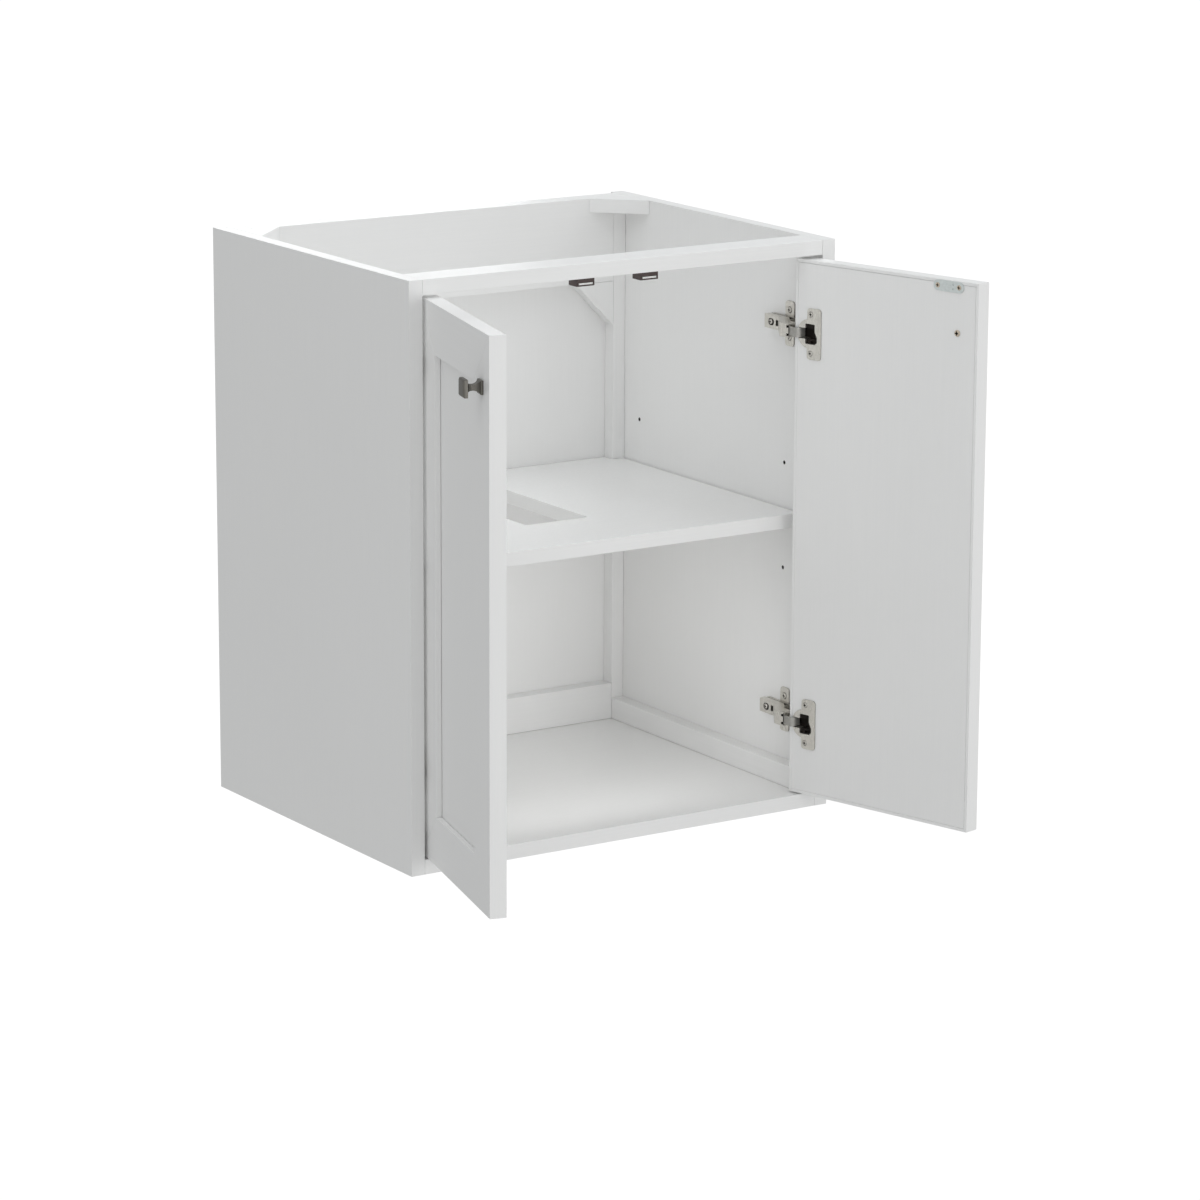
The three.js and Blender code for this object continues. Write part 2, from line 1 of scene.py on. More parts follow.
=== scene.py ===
"""Looks of a wall-hung base cabinet: lacquered boards, framed doors, cup hinges, knobs and magnetic catches.

Fittings are written in millimetres as (u, v, w): u inward from the inner face of a side panel, v back from
the front edge of the cabinet, w up from the fitting's own height. Door fittings are written with the door
closed.
"""

import json
import math

import bmesh
import bpy
from mathutils import Matrix, Vector


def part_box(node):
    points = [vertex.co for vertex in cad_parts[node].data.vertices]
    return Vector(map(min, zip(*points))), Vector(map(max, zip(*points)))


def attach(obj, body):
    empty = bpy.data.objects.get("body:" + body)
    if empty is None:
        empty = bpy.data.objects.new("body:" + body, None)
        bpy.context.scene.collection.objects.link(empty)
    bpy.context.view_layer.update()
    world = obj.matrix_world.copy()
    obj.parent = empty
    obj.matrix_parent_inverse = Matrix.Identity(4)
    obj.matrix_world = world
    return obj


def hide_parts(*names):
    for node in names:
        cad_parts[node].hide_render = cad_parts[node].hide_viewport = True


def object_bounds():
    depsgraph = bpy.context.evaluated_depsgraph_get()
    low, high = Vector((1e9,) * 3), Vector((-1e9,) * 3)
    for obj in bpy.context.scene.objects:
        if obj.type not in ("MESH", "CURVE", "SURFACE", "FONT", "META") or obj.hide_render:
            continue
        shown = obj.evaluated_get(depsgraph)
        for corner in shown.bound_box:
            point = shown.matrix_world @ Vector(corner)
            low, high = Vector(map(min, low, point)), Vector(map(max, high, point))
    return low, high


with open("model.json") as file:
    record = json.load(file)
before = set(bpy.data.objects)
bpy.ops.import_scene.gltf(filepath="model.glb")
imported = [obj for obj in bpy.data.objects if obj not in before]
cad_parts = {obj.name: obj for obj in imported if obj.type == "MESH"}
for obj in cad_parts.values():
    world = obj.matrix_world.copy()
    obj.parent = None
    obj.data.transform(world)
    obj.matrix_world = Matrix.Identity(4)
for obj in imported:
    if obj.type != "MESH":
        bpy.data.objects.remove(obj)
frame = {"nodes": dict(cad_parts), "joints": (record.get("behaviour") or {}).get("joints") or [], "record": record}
cad_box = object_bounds()

MM = 0.001
SIDES = ("left", "right")
RECORD_SLOTS = {part["node"]: part["material_slot"] for part in frame["record"]["subparts"]}
JOINTS = {joint["name"]: joint for joint in frame["joints"]}

# ---------------------------------------------------------------- camera, light and floor

CAMERA_LOCATION = (-3.0093, -5.0450, 0.9342)
CAMERA_AZIMUTH = -33.008
CAMERA_ELEVATION = 13.270
CAMERA_ROLL = 0.255
CAMERA_LENS = 140.98


def add_camera():
    camera = bpy.data.objects.new("camera", bpy.data.cameras.new("camera"))
    bpy.context.scene.collection.objects.link(camera)
    camera.data.lens = CAMERA_LENS
    camera.data.sensor_width = 36
    azimuth = math.radians(CAMERA_AZIMUTH)
    elevation = math.radians(CAMERA_ELEVATION)
    back = Vector((
        math.sin(azimuth) * math.cos(elevation),
        -math.cos(azimuth) * math.cos(elevation),
        math.sin(elevation),
    ))
    turn = back.to_track_quat("Z", "Y").to_matrix().to_4x4()
    roll = Matrix.Rotation(math.radians(CAMERA_ROLL), 4, "Z")
    camera.matrix_world = Matrix.Translation(CAMERA_LOCATION) @ turn @ roll
    bpy.context.scene.camera = camera


def add_world(ambient=0.45):
    """White behind the object, and an even grey light for everything else."""
    world = bpy.data.worlds.new("studio")
    bpy.context.scene.world = world
    world.use_nodes = True
    nodes, links = world.node_tree.nodes, world.node_tree.links
    nodes.clear()
    output = nodes.new("ShaderNodeOutputWorld")
    mix = nodes.new("ShaderNodeMixShader")
    seen = nodes.new("ShaderNodeBackground")
    light = nodes.new("ShaderNodeBackground")
    path = nodes.new("ShaderNodeLightPath")
    seen.inputs["Color"].default_value = (1, 1, 1, 1)
    seen.inputs["Strength"].default_value = 1.05
    light.inputs["Color"].default_value = (0.985, 0.995, 1, 1)
    light.inputs["Strength"].default_value = ambient
    links.new(path.outputs["Is Camera Ray"], mix.inputs["Fac"])
    links.new(light.outputs[0], mix.inputs[1])
    links.new(seen.outputs[0], mix.inputs[2])
    links.new(mix.outputs[0], output.inputs["Surface"])


def add_softbox(name, location, target, size, power, color=(1, 1, 1)):
    data = bpy.data.lights.new(name, "AREA")
    data.shape = "RECTANGLE"
    data.size, data.size_y = size
    data.energy = power
    data.color = color
    lamp = bpy.data.objects.new(name, data)
    bpy.context.scene.collection.objects.link(lamp)
    back = Vector(location) - Vector(target)
    lamp.matrix_world = Matrix.Translation(location) @ back.to_track_quat("Z", "Y").to_matrix().to_4x4()


def add_floor(level=-3.6, radius=3.5):
    bm = bmesh.new()
    bmesh.ops.create_circle(bm, cap_ends=True, segments=96, radius=radius)
    mesh = bpy.data.meshes.new("floor")
    bm.to_mesh(mesh)
    bm.free()
    floor = bpy.data.objects.new("floor", mesh)
    floor.location.z = level
    bpy.context.scene.collection.objects.link(floor)
    material = bpy.data.materials.new("floor")
    material.use_nodes = True
    shader = material.node_tree.nodes["Principled BSDF"]
    shader.inputs["Base Color"].default_value = (0.9, 0.9, 0.9, 1)
    shader.inputs["Roughness"].default_value = 0.9
    mesh.materials.append(material)


bpy.context.scene.view_settings.view_transform = "Standard"
add_camera()
add_world()
middle = (Vector(cad_box[0]) + Vector(cad_box[1])) / 2
for light_name, offset, size, power, color in (
    ("front_box", (-0.9, -4.6, -0.2), (7, 4.4), 38, (1, 1, 0.995)),
    ("middle_front_box", (0.6, -3.4, 0.3), (1.8, 1.4), 13, (1, 1, 1)),
    ("right_front_box", (2.2, -3.2, 0.3), (2, 2), 6, (1, 1, 1)),
    ("top_box", (-1.2, -0.8, 3.2), (3, 3), 29, (0.96, 0.985, 1)),
    ("right_top_box", (2.2, 0.4, 3.0), (2.4, 2.4), 57, (0.96, 0.985, 1)),
    ("left_box", (-4.0, 0.2, 0.3), (2.4, 2.4), 6, (0.98, 1, 0.98)),
    ("right_box", (4.0, 0.2, 0.3), (2.4, 2.4), 25, (1, 1, 1)),
    ("back_box", (1.4, 4.2, 0.1), (2, 1.8), 35, (1, 1, 1)),
):
    add_softbox(light_name, middle + Vector(offset), middle, size, power, color)
lower_bay = Vector((0, -0.445, -0.47))  # just inside the front edge, below the shelf
back_and_down = Vector((0, 0.6, -0.1))
add_softbox("lower_bay_fill", lower_bay, lower_bay + back_and_down, (0.3, 0.16), 0.22)
add_floor()

# ---------------------------------------------------------------- materials


def add_node(material, kind, inputs=None, **settings):
    """A shader node with its settings; an input is given a value, or the socket that feeds it."""
    node = material.node_tree.nodes.new(kind)
    for name, value in settings.items():
        setattr(node, name, value)
    for name, value in (inputs or {}).items():
        if isinstance(value, bpy.types.NodeSocket):
            material.node_tree.links.new(value, node.inputs[name])
        else:
            node.inputs[name].default_value = value
    return node


def noise(material, scale, detail=3.0, roughness=0.5):
    """Noise with its own scale along x, y and z, in features per metre."""
    place = add_node(material, "ShaderNodeTexCoord").outputs["Object"]
    stretch = add_node(material, "ShaderNodeMapping", {"Vector": place, "Scale": scale})
    grain = add_node(material, "ShaderNodeTexNoise", {
        "Vector": stretch.outputs[0], "Scale": 1.0, "Detail": detail, "Roughness": roughness,
    })
    return grain.outputs["Fac"]


def spread(material, factor, low, high, trim=0.3):
    """A noise stretched from low to high, with this much of its range trimmed at either end."""
    node = add_node(material, "ShaderNodeMapRange", {
        "Value": factor, "From Min": trim, "From Max": 1 - trim, "To Min": low, "To Max": high,
    })
    return node.outputs[0]


def blend_colors(material, factor, first, second):
    """Two colours, or sockets, mixed by a factor."""
    node = add_node(material, "ShaderNodeMix", data_type="RGBA")
    inputs = {0: factor, 6: first, 7: second}
    for index, value in inputs.items():
        if isinstance(value, bpy.types.NodeSocket):
            material.node_tree.links.new(value, node.inputs[index])
        else:
            node.inputs[index].default_value = (*value, 1)
    return node.outputs[2]


def bumps(material, *layers):
    """A normal from layers of (height socket, depth in metres)."""
    normal = None
    for height, depth in layers:
        inputs = {"Height": height, "Distance": depth, "Strength": 1.0}
        if normal:
            inputs["Normal"] = normal
        normal = add_node(material, "ShaderNodeBump", inputs).outputs[0]
    return normal


def new_material(name, **constants):
    material = bpy.data.materials.new(name)
    material.use_nodes = True
    shader = material.node_tree.nodes["Principled BSDF"]
    for socket, value in constants.items():
        shader.inputs[socket.replace("_", " ")].default_value = value
    return material, shader.inputs


def connect(material, inputs, **sockets):
    for name, socket in sockets.items():
        material.node_tree.links.new(socket, inputs[name.replace("_", " ")])
    return material


def lacquer(name, streaks, gloss):
    """Sprayed satin lacquer over faint brush lines that run the way the board runs."""
    material, inputs = new_material(name, Coat_Weight=0.12, Coat_Roughness=0.15)
    clouds = noise(material, (5, 5, 5), detail=1)
    lines = noise(material, streaks, detail=4, roughness=0.6)
    peel = noise(material, (420, 420, 420), detail=2)
    tone = blend_colors(
        material, spread(material, clouds, 0, 1, trim=0.1), (0.899, 0.898, 0.891), (0.918, 0.916, 0.909),
    )
    color = blend_colors(material, spread(material, lines, 0, 0.5), tone, (0.871, 0.872, 0.865))
    return connect(
        material, inputs, Base_Color=color,
        Roughness=spread(material, peel, gloss - 0.03, gloss + 0.05, trim=0.1),
        Normal=bumps(material, (peel, 0.000012), (lines, 0.000012)),
    )


def metal(name, color, crevice_shade_and_grime, scratches, roughness, plating=1.0):
    """Plated metal: scratches along one way, and painted shade with grime that darkens its corners and holes."""
    material, inputs = new_material(name, Metallic=plating)
    cloud = noise(material, (260, 260, 260), detail=3)
    lines = noise(material, scratches, detail=4, roughness=0.65)
    # Painted shade with grime: ambient occlusion pulls the colour towards the dark one in corners, holes and
    # recesses.
    crevice_occlusion = add_node(material, "ShaderNodeAmbientOcclusion", {"Distance": 0.004}, samples=8).outputs["AO"]
    away_from_crevices = add_node(material, "ShaderNodeMapRange", {
        "Value": crevice_occlusion, "From Min": 0.2, "From Max": 0.8, "To Min": 0, "To Max": 1,
    }).outputs[0]
    worn = blend_colors(material, spread(material, cloud, 0, 0.6), color, [0.8 * c for c in color])
    lined = blend_colors(material, spread(material, lines, 0, 0.4), worn, [0.7 * c for c in color])
    return connect(
        material, inputs, Base_Color=blend_colors(material, away_from_crevices, crevice_shade_and_grime, lined),
        Roughness=spread(material, lines, roughness - 0.06, roughness + 0.1),
        Normal=bumps(material, (lines, 0.00003), (cloud, 0.00005)),
    )


def moulded(name, color, lighter, shine=0.5, smooth=0.3):
    """Injection-moulded plastic with a fine spark-eroded grain."""
    material, inputs = new_material(name, Specular_IOR_Level=shine)
    grain = noise(material, (1400, 1400, 1400), detail=2)
    cloud = noise(material, (60, 60, 60), detail=2)
    return connect(
        material, inputs, Base_Color=blend_colors(material, spread(material, cloud, 0, 1), color, lighter),
        Roughness=spread(material, grain, smooth, smooth + 0.16), Normal=bumps(material, (grain, 0.00004)),
    )


UPRIGHT, LEVEL, ACROSS = "upright", "level", "across"
lacquers = {
    UPRIGHT: lacquer("white_lacquer_upright", (600, 600, 9), 0.3),
    LEVEL: lacquer("white_lacquer_level", (9, 9, 600), 0.3),
    ACROSS: lacquer("white_lacquer_across", (9, 600, 600), 0.22),
}
# The third colour of each metal is painted shade with grime, for its corners and holes.
finishes = {
    "nickel": metal("nickel", (0.76, 0.735, 0.68), (0.06, 0.05, 0.04), (700, 700, 90), 0.3, plating=0.9),
    "link": metal("nickel_link", (0.5, 0.49, 0.46), (0.26, 0.25, 0.23), (900, 900, 900), 0.5, plating=0.85),
    "knob": metal("dark_nickel", (0.21, 0.2, 0.18), (0.03, 0.028, 0.025), (1500, 1500, 60), 0.36),
    "zinc": metal("zinc", (0.93, 0.93, 0.91), (0.12, 0.1, 0.09), (500, 500, 500), 0.36, plating=0.9),
    "strike": metal("zinc_strike", (0.78, 0.83, 0.82), (0.2, 0.24, 0.24), (200, 200, 900), 0.42, plating=0.3),
    "knob_screw": metal(
        "brass_screw", (0.72, 0.62, 0.5), (0.1, 0.07, 0.05), (500, 500, 500), 0.36, plating=0.9,
    ),
    "sleeve": metal("zinc_sleeve", (0.36, 0.35, 0.34), (0.04, 0.04, 0.04), (900, 900, 900), 0.4),
    # Not a finish of its own: a near-black metal that paints shade on recess faces and shaded pockets.
    "recess": metal("recess", (0.05, 0.045, 0.04), (0.015, 0.012, 0.01), (900, 900, 900), 0.5),
    "plastic": moulded("brown_plastic", (0.045, 0.026, 0.024), (0.065, 0.04, 0.036)),
    "works": moulded("dark_works", (0.012, 0.01, 0.009), (0.03, 0.024, 0.02), shine=0.15, smooth=0.7),
}

# ---------------------------------------------------------------- mesh tools


def rounded(points, radius, steps=4):
    """A closed outline with its corners rounded, by one radius or by one for each corner."""
    radii = radius if isinstance(radius, (list, tuple)) else [radius] * len(points)
    result = []
    for index, reach in enumerate(radii):
        corner = Vector(points[index])
        before = Vector(points[index - 1]) - corner
        after = Vector(points[(index + 1) % len(points)]) - corner
        if reach == 0:
            result.append(tuple(corner))
            continue
        tangent = reach / math.tan(before.angle(after) / 2)
        tangent = min(tangent, 0.499 * before.length, 0.499 * after.length)
        toward = (before.normalized() + after.normalized()).normalized()
        centre = corner + toward * tangent / math.cos(before.angle(after) / 2)
        start = corner + before.normalized() * tangent - centre
        end = corner + after.normalized() * tangent - centre
        sweep = start.angle(end)
        for step in range(steps + 1):
            t = step / steps
            spoke = (start * math.sin((1 - t) * sweep) + end * math.sin(t * sweep)) / math.sin(sweep)
            result.append(tuple(centre + spoke))
    return result


def rectangle(a0, a1, b0, b1):
    return [(a0, b0), (a1, b0), (a1, b1), (a0, b1)]


def stacked(rings):
    """A closed skin over rings with the same number of points."""
    bm = bmesh.new()
    loops = [[bm.verts.new(point) for point in ring] for ring in rings]
    for low, high in zip(loops, loops[1:]):
        for index, vert in enumerate(low):
            following = (index + 1) % len(low)
            bm.faces.new((vert, low[following], high[following], high[index]))
    bm.faces.new(loops[0])
    bm.faces.new(loops[-1])
    bmesh.ops.recalc_face_normals(bm, faces=bm.faces)
    return bm


def at(axis, a, b, along):
    """The point that lies along the axis, with a and b on the other two in their order."""
    return {"u": (along, a, b), "v": (a, along, b), "w": (a, b, along)}[axis]


def prism(outline, axis, low, high):
    return stacked([[at(axis, a, b, along) for a, b in outline] for along in (low, high)])


def turned(profile, axis, centre=(0, 0), segments=40):
    """A turned shape; the profile is a list of (radius, place along the axis)."""
    angles = [2 * math.pi * step / segments for step in range(segments)]
    return stacked([
        [
            at(axis, centre[0] + radius * math.cos(angle), centre[1] + radius * math.sin(angle), along)
            for angle in angles
        ]
        for radius, along in profile
    ])


def scratch_object(bm):
    mesh = bpy.data.meshes.new("scratch")
    bm.to_mesh(mesh)
    bm.free()
    scratch = bpy.data.objects.new("scratch", mesh)
    bpy.context.scene.collection.objects.link(scratch)
    return scratch


def combined(operation, base, *others):
    """Closed meshes joined (UNION) or cut (DIFFERENCE)."""
    target = scratch_object(base)
    tools = [scratch_object(other) for other in others]
    for tool in tools:
        modifier = target.modifiers.new("boolean", "BOOLEAN")
        modifier.operation = operation
        modifier.solver = "EXACT"
        modifier.object = tool
    evaluated = target.evaluated_get(bpy.context.evaluated_depsgraph_get())
    bm = bmesh.new()
    bm.from_mesh(evaluated.to_mesh())
    evaluated.to_mesh_clear()
    for scratch in (target, *tools):
        mesh = scratch.data
        bpy.data.objects.remove(scratch)
        bpy.data.meshes.remove(mesh)
    return bm


def soften(bm, width, sharp=30, segments=2):
    """Flat faces made whole, then the sharp edges rounded."""
    bmesh.ops.dissolve_limit(
        bm, angle_limit=math.radians(1), verts=bm.verts, edges=bm.edges, delimit={"MATERIAL"},
    )
    bmesh.ops.remove_doubles(bm, verts=bm.verts, dist=0.01)
    limit = math.radians(sharp)
    edges = [edge for edge in bm.edges if len(edge.link_faces) == 2 and edge.calc_face_angle(0) > limit]
    bmesh.ops.bevel(
        bm, geom=edges, offset=width, offset_type="OFFSET", segments=segments, profile=0.5, affect="EDGES",
        clamp_overlap=True,
    )
    return bm


def darken(bm, low, high):
    """Painted shade: the dark recess finish on the faces whose middle lies in a box."""
    for face in bm.faces:
        centre = face.calc_center_median()
        if all(a <= c <= b for a, c, b in zip(low, centre, high)):
            face.material_index = 1


def piece(name, template, space, finish, slot, body, *nodes):
    """A copy of the template, placed by its space; it rides the body and stands for the nodes."""
    bm = template.copy()
    bm.transform(space)
    if space.determinant() < 0:
        bmesh.ops.reverse_faces(bm, faces=bm.faces)
    for face in bm.faces:
        face.smooth = True
    for edge in bm.edges:
        edge.smooth = edge.calc_face_angle(0) < math.radians(40)
    mesh = bpy.data.meshes.new(name)
    bm.to_mesh(mesh)
    bm.free()
    mesh.materials.append(finishes[finish])
    # The second slot is the dark recess finish, painted shade for faces in recesses.
    mesh.materials.append(finishes["recess"])
    made = bpy.data.objects.new(name, mesh)
    bpy.context.scene.collection.objects.link(made)
    made.modifiers.new("normals", "WEIGHTED_NORMAL").keep_sharp = True
    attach(made, body)
    if nodes:
        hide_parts(*nodes)


# ---------------------------------------------------------------- where fittings sit

HINGE_HEIGHTS = {"upper": 598, "lower": 110}
DOOR_FACE = 20  # v of the door's inner face
DOOR_FREE_EDGE = 281
SEAT_GAP = 0.2  # between a fitting and the board that it sits on


def cabinet_space(side, height, u=0, v=0):
    """From the millimetres of a fitting on the carcass to the frame."""
    low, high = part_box(f"{side}_side_panel")
    wall, inward = (high.x, 1) if side == "left" else (low.x, -1)
    space = Matrix.Diagonal((inward * MM, MM, MM, 1))
    space.translation = (wall, low.y, low.z + height * MM)
    return space @ Matrix.Translation((u, v, 0))


def door_space(side, height, u=0, v=0):
    """From the millimetres of a fitting on the closed door to the frame, where the door stands open."""
    hinge = JOINTS[f"{side}_door_hinge"]
    pivot = Matrix.Translation(hinge["pos_m"])
    opening = Matrix.Rotation(math.radians(-hinge["range_deg"][0]), 4, Vector(hinge["axis"]))
    return pivot @ opening @ pivot.inverted() @ cabinet_space(side, height, u, v)


FACING_U = Matrix.Rotation(math.radians(90), 4, "Y")
FACING_V = Matrix.Rotation(math.radians(-90), 4, "X")
FACING_DOWN = Matrix.Rotation(math.radians(180), 4, "X")

# ---------------------------------------------------------------- screws


def cross(reach, width):
    """The outline of a cross recess."""
    quarter = [(reach, -width), (reach, width), (width, width)]
    points = []
    for turn in range(4):
        c, s = round(math.cos(turn * math.pi / 2)), round(math.sin(turn * math.pi / 2))
        points += [(a * c - b * s, a * s + b * c) for a, b in quarter]
    return points


RECESS_REACH = 0.66  # of the head's radius


def screw_head(radius, height, shank=0.0, shank_length=0.0):
    """A domed head on its seat at w = 0, with a cross recess; the shank goes below the seat."""
    profile = [(0.97 * radius, 0), (radius, 0.18 * height), (0.93 * radius, 0.55 * height)]
    profile += [(0.76 * radius, 0.84 * height), (0.45 * radius, 0.97 * height), (0.05 * radius, height)]
    if shank:
        profile = [(0.3 * shank, -shank_length), (shank, 0.8 * shank - shank_length), (shank, 0)] + profile
    head = turned(profile, "w", segments=32)
    reach = RECESS_REACH * radius
    depth = 0.75 * height
    recess = stacked([
        [(a * size, b * size, along) for a, b in cross(reach, 0.2 * radius)]
        for size, along in ((0.6, height - depth), (1.1, height + 0.4))
    ])
    bm = combined("DIFFERENCE", head, recess)
    # Faces inside the cross recess take the dark recess finish: painted shade.
    for face in bm.faces:
        centre = face.calc_center_median()
        inside = centre.z > 0 and centre.xy.length < 1.05 * reach
        if inside and (abs(face.normal.z) < 0.6 or centre.z < 0.8 * height):
            face.material_index = 1
    return bm


# ---------------------------------------------------------------- hinges

SHEET = 1.5
CUP_CENTRE = 25.5
CUP_BODY = 17.5
FLANGE_BACK = DOOR_FACE + SEAT_GAP
FLANGE_FRONT = FLANGE_BACK + 1.2
CUP_FLOOR = 8.9
OPENING = [(20, -12.6), (35, -12.6), (38.2, -9.6), (38.2, -4), (34.6, 3), (34.6, 12.2), (20, 12.2)]
CUP_SCREW = {"u": 28, "w": 24, "radius": 3.1, "height": 1.3, "seat": FLANGE_FRONT - 0.7, "countersink": 3.9}
FLANGE_EARS = rectangle(22.5, 44, -31.5, 31.5)
FLANGE_LOBE = 17.9
CUP_BOTTOM = [(16.3, 8.2), (CUP_BODY, 9.4)]  # radius and v, round the bottom and at the end of its bevel
CUTTER_TOP = DOOR_FACE + 9  # v, clear of the flange and the works
THROAT = rectangle(6, 20, -6.6, 6.6)
THROAT_FLOOR = rectangle(9.4, 24, -6.4, 6.4)
WORKS_SIZE = 0.985  # of the opening
WORKS_TOP = 18.2
WORKS_SLOT = rectangle(0, 33.2, -6.5, 6.5)
WORKS_LEDGE = rectangle(26, 50, -20, -8.6)
WORKS_LEDGE_TOP = 15.4
ARM_HALF = 8.6
PIVOT = (29.5, 31)
PIVOT_BORE = 1.5
ARM_SLOT = rectangle(73.5, 78.5, -3.6, 3.6)
ARM_KEYHOLE = rectangle(82.4, 94.2, -4.2, 4.2)
ARM_NOTCH = {"front": 24, "back": 28.2, "height": 3, "lows": (-6.6, 3.6)}
ARM_SCREW = {"u": 11.8, "v": 90, "radius": 3.5, "height": 2.2}
ARM_OUTLINE = [(4.5, 103), (13.2, 103), (13.2, 72), (33.2, 42), (33.2, 25), (18, 25), (18, 42), (4.5, 62)]
ARM_HOLLOW = [(0, 105), (11.7, 105), (11.7, 71.3), (31.7, 41.3), (31.7, 0), (0, 0)]
LINK_ROUTE = [(29.5, 31), (31.6, 17.1), (32, 9.9), (26.4, 7.9), (19, 8.3)]
LINK_SHEET = 1.2
LINK_HALF = 5.75
LINK_EYE = 2.4
LINK_DARK_SHARE = 0.38  # of the way from the pivot to the first bend, where the link is in the arm's shade
LINK_DARK_FRONT = 5.4  # in front of the pivot, just past that share
PIN_PROFILE = [  # radius, and the distance past the arm's side
    (0.4, 0.7), (1.6, 0.6), (2.1, 0.25), (2.1, 0.02), (1.1, 0),
]
PLATE_WING = rectangle(56, 74, -28, 28)
PLATE_FOOT = rectangle(50, 101, -9, 9)
PLATE_BLOCK = rectangle(58, 101, -6.6, 6.6)
PLATE_POCKET = rectangle(72.5, 86.2, -4.8, 4.8)
PLATE_POCKET_FLOOR = 4.6
PLATE_POCKET_SHADE_BOX = [(4.4, 72.3, -5), (9.9, 86.4, 5)]  # corners of a box round the pocket, short of its rim, whose faces get painted shade
PLATE_SCREW = {"u": 1.3, "v": 65, "w": 17, "radius": 3.6, "height": 1.9}


def cup_template():
    ears = prism(rounded(FLANGE_EARS, 4), "v", FLANGE_BACK, FLANGE_FRONT)
    lobe = turned([(FLANGE_LOBE, FLANGE_BACK), (FLANGE_LOBE, FLANGE_FRONT)], "v", (CUP_CENTRE, 0), 72)
    body = turned([*CUP_BOTTOM, (CUP_BODY, FLANGE_BACK + 0.4)], "v", (CUP_CENTRE, 0), 72)
    whole = combined("UNION", body, ears, lobe)
    opening = prism(rounded(OPENING, 1.2), "v", CUP_FLOOR, CUTTER_TOP)
    throat = prism(THROAT, "v", CUP_FLOOR, CUTTER_TOP)
    seats = [
        turned(
            [(CUP_SCREW["radius"], CUP_SCREW["seat"]), (CUP_SCREW["countersink"], FLANGE_FRONT + 0.1)],
            "v", (CUP_SCREW["u"], w), 32,
        )
        for w in (-CUP_SCREW["w"], CUP_SCREW["w"])
    ]
    return soften(combined("DIFFERENCE", whole, opening, throat, *seats), 0.35)


def cup_works_template():
    """The dark mechanism that fills the cup's opening round the slot and throat that the link folds into."""
    centre = Vector((sum(u for u, _ in OPENING), sum(w for _, w in OPENING))) / len(OPENING)
    inset = [tuple(centre + (Vector(point) - centre) * WORKS_SIZE) for point in OPENING]
    bottom, slot_floor = CUP_FLOOR + 0.1, CUP_FLOOR + 0.35
    whole = prism(rounded(inset, 1.2), "v", bottom, WORKS_TOP)
    slot = prism(WORKS_SLOT, "v", slot_floor, CUTTER_TOP)
    ledge = prism(WORKS_LEDGE, "v", WORKS_LEDGE_TOP, CUTTER_TOP)
    throat_floor = prism(THROAT_FLOOR, "v", bottom, slot_floor)
    return soften(combined("UNION", combined("DIFFERENCE", whole, slot, ledge), throat_floor), 0.1)


def link_template():
    """A bent strip from the arm's pivot, round the corner of the open door, into the cup."""
    route = [Vector(LINK_ROUTE[0]), Vector(LINK_ROUTE[0]).lerp(Vector(LINK_ROUTE[1]), LINK_DARK_SHARE)]
    for before, corner, after in zip(LINK_ROUTE, LINK_ROUTE[1:], LINK_ROUTE[2:]):
        corner = Vector(corner)
        start, end = corner.lerp(Vector(before), 0.32), corner.lerp(Vector(after), 0.32)
        for t in (0, 0.25, 0.5, 0.75, 1):
            route.append(start * (1 - t) ** 2 + corner * 2 * t * (1 - t) + end * t ** 2)
    route.append(Vector(LINK_ROUTE[-1]))
    left, right = [], []
    for index, point in enumerate(route):
        along = route[min(index + 1, len(route) - 1)] - route[max(index - 1, 0)]
        aside = Vector((-along.y, along.x)).normalized() * LINK_SHEET / 2
        left.append(tuple(point + aside))
        right.append(tuple(point - aside))
    strip = prism(left + right[::-1], "w", -LINK_HALF, LINK_HALF)
    eye = turned([(LINK_EYE, -LINK_HALF), (LINK_EYE, LINK_HALF)], "w", PIVOT, 32)
    bore = turned([(PIVOT_BORE, -9), (PIVOT_BORE, 9)], "w", PIVOT, 24)
    bm = combined("DIFFERENCE", combined("UNION", strip, eye), bore)
    # Painted shade: the stretch in the arm's shade takes the dark recess finish.
    darken(bm, (PIVOT[0] - 9, PIVOT[1] - LINK_DARK_FRONT, -9), (PIVOT[0] + 9, PIVOT[1] + 9, 9))
    return soften(bm, 0.2)


def arm_template():
    """The cranked channel, with a keyhole for its screw, a slot for its cam and two notches at its front."""
    outer = prism(rounded(ARM_OUTLINE, [2, 1, 7, 5, 1.2, 1.2, 4, 5]), "w", -ARM_HALF, ARM_HALF)
    inner = ARM_HALF - SHEET
    hollow = prism(rounded(ARM_HOLLOW, [0, 0, 7, 4, 0, 0]), "w", -inner, inner)
    bore = turned([(PIVOT_BORE, -12), (PIVOT_BORE, 12)], "w", PIVOT, 24)
    slot = prism(rounded(ARM_SLOT, 0.7), "u", 9, 17)
    keyhole = prism(rounded(ARM_KEYHOLE, 4.19, steps=8), "u", 9, 17)
    notches = [
        prism(rectangle(ARM_NOTCH["front"], ARM_NOTCH["back"], low, low + ARM_NOTCH["height"]), "u", 31, 34)
        for low in ARM_NOTCH["lows"]
    ]
    return soften(combined("DIFFERENCE", outer, hollow, bore, slot, keyhole, *notches), 0.35)


def pin_template():
    profile = [(radius, ARM_HALF + past) for radius, past in PIN_PROFILE]
    mirrored = [(radius, -along) for radius, along in reversed(profile)]
    return turned(profile + mirrored, "w", PIVOT, 24)


